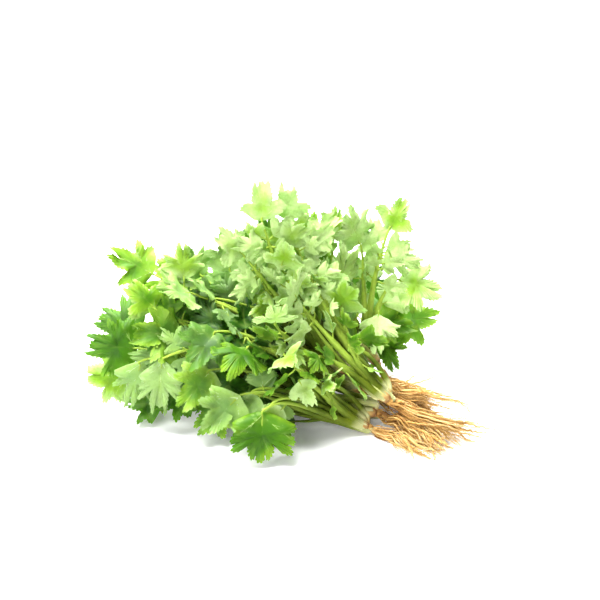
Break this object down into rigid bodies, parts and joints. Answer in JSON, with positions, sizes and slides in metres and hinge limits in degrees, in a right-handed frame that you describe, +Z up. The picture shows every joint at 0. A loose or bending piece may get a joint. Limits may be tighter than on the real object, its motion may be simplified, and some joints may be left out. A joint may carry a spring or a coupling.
{
  "type": "coriander bunch",
  "caption": "Loose bunch of fresh coriander lying on its side, with lobed, toothed leaves on thin stalks and a tangle of tan roots.",
  "frame": {"origin": "on the surface the bunch lies on, on the underside of the leaflet that is pressed flat against it under the middle of the bunch", "axes": "+Z up, +X towards the root tips along the length of the bunch, -Y towards the side the picture was taken from"},
  "size_m": [0.2855, 0.1975, 0.1667],
  "materials": {
    "leaf_green": null,
    "root_tan": null
  },
  "bodies": {
    "root": {"plant_1_leafy_stems": "leaf_green", "plant_2_leafy_stems": "leaf_green", "plant_3_leafy_stems": "leaf_green", "plant_4_leafy_stems": "leaf_green", "plant_5_leafy_stems": "leaf_green", "plant_6_leafy_stems": "leaf_green", "plant_7_leafy_stems": "leaf_green", "plant_8_leafy_stems": "leaf_green", "plant_1_roots": "root_tan", "plant_2_roots": "root_tan", "plant_3_roots": "root_tan", "plant_4_roots": "root_tan", "plant_5_roots": "root_tan", "plant_6_roots": "root_tan", "plant_7_roots": "root_tan", "plant_8_roots": "root_tan"}
  },
  "joints": []
}
